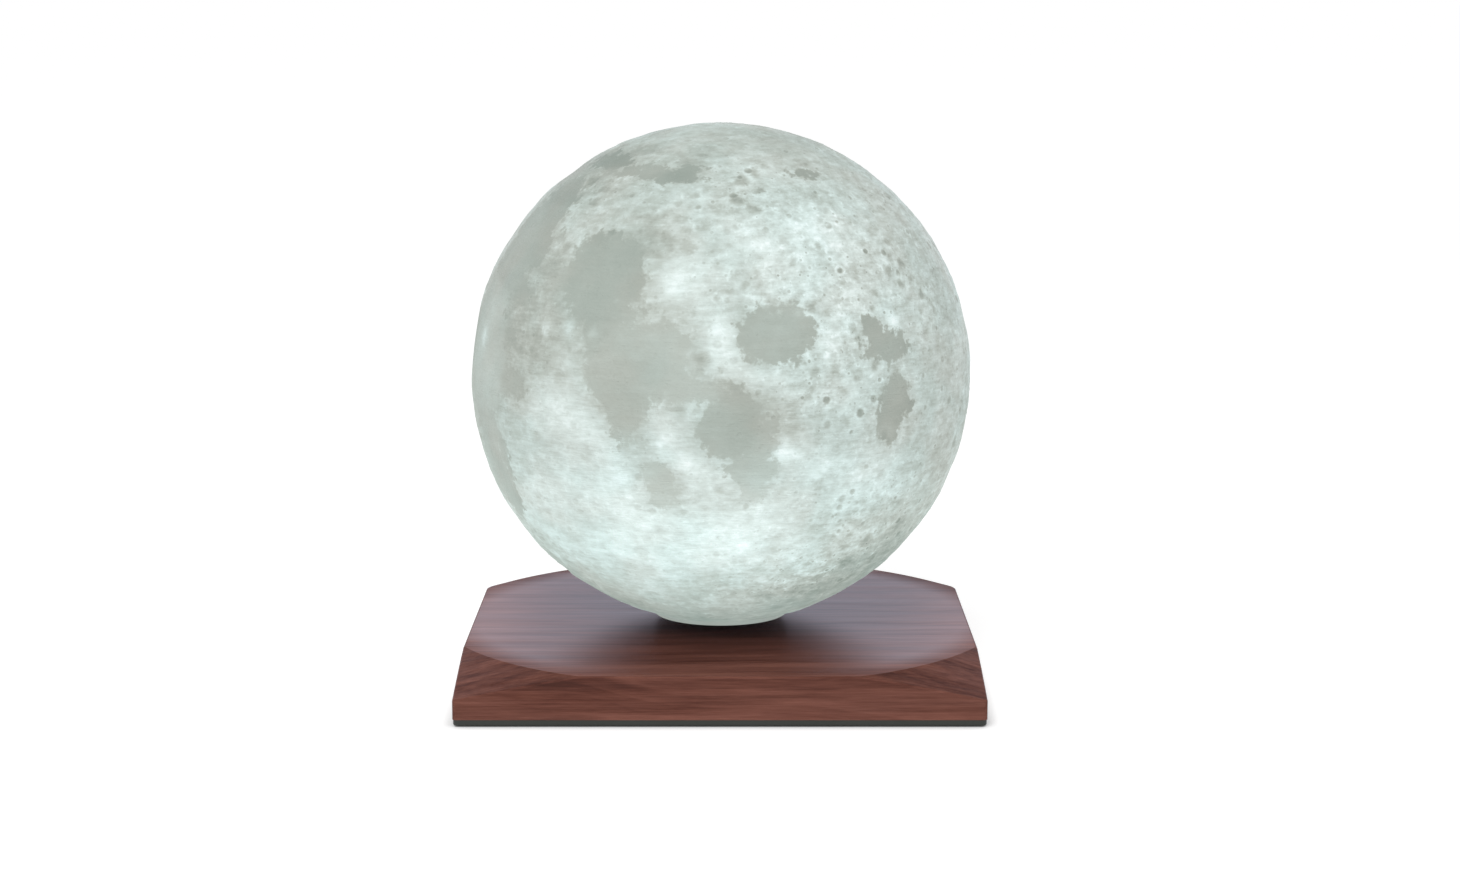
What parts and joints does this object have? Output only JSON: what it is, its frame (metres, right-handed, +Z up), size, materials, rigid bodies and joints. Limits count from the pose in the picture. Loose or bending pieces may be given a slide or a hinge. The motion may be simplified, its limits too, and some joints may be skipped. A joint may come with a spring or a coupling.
{
  "type": "levitating moon lamp",
  "caption": "Printed moon globe that floats and turns above a square wooden base with a cone-cut top; magnets and coils in both carry its weight and its power.",
  "frame": {"origin": "middle of the base's footprint, on the surface that it stands on", "axes": "+Z up through the middle of the moon; -Y is the front, seen in the picture; +Y has the power inlet"},
  "size_m": [0.18, 0.18, 0.1976],
  "materials": {
    "walnut": "dark walnut with a clear gloss varnish, grain along X",
    "black_plastic": "black moulded plastic, fine matt texture",
    "rubber": "soft black rubber",
    "screw_steel": "zinc-plated steel",
    "yoke_steel": "plain mild steel sheet",
    "ferrite": "sintered dark grey ferrite, ground faces",
    "neodymium": "nickel-plated magnet, polished",
    "copper": "enamelled copper wire, wound",
    "spring_steel": "bright spring wire",
    "nickel_brass": "nickel-plated brass",
    "circuit_board": "green solder mask on glass-fibre board",
    "chip_black": "moulded epoxy chip packages",
    "can_aluminium": "bright aluminium can",
    "frame_plastic": "dark grey moulded plastic",
    "bobbin_nylon": "natural nylon",
    "header_plastic": "ivory moulded plastic",
    "red_lead": "red insulated wire",
    "black_lead": "black insulated wire",
    "moon_print": "translucent white printed plastic, fine layer lines",
    "cap_plastic": "white moulded plastic",
    "spreader_aluminium": "turned aluminium",
    "led_board_white": "white-coated aluminium board",
    "led_lens": "yellow phosphor under clear resin",
    "frosted_dome": "frosted translucent plastic"
  },
  "bodies": {
    "base": {"wood_base": "walnut", "bottom_cover": "black_plastic", "cover_screws": "screw_steel", "rubber_feet": "rubber", "module_frame": "frame_plastic", "frame_screws": "screw_steel", "steel_yoke": "yoke_steel", "ring_magnet": "ferrite", "coil_bobbins": "bobbin_nylon", "coil_windings": "copper", "coil_cores": "yoke_steel", "transmit_sheet": "ferrite", "transmit_coil": "copper", "sensor_spacer": "bobbin_nylon", "sensor_board": "circuit_board", "hall_sensors": "chip_black", "control_board": "circuit_board", "board_screws": "screw_steel", "microcontroller": "chip_black", "coil_drivers": "chip_black", "transmit_driver": "chip_black", "chip_resistors": "chip_black", "capacitors": "can_aluminium", "power_inductor": "ferrite", "power_header": "header_plastic", "touch_pad": "copper", "touch_spring": "spring_steel", "inlet_body": "black_plastic", "inlet_pin": "nickel_brass", "inlet_tag": "nickel_brass", "inlet_nut": "nickel_brass", "positive_lead": "red_lead", "negative_lead": "black_lead"},
    "float_magnet": {"float_magnet": "neodymium"},
    "moon": {"moon_shell": "moon_print", "moon_cap": "cap_plastic", "cap_screws": "screw_steel", "receiver_coil": "copper", "receiver_sheet": "ferrite", "receiver_leads": "copper", "magnet_retainer": "cap_plastic", "rectifier_board": "circuit_board", "rectifier_chips": "chip_black", "rectifier_capacitors": "can_aluminium", "heat_spreader": "spreader_aluminium", "led_board": "led_board_white", "leds": "led_lens", "led_screws": "screw_steel", "led_leads": "red_lead", "light_dome": "frosted_dome"}
  },
  "joints": [
    {"name": "moon_lift", "type": "slide", "parent": "base", "child": "float_magnet", "axis": [0, 0, 1], "range_m": [-0.0017, 0.15], "stiffness_N_per_m": 17.66, "springref_m": 0.14992},
    {"name": "moon_spin", "type": "hinge", "parent": "float_magnet", "child": "moon", "pos_m": [0, 0, 0.0271], "axis": [0, 0, 1], "continuous": true}
  ]
}
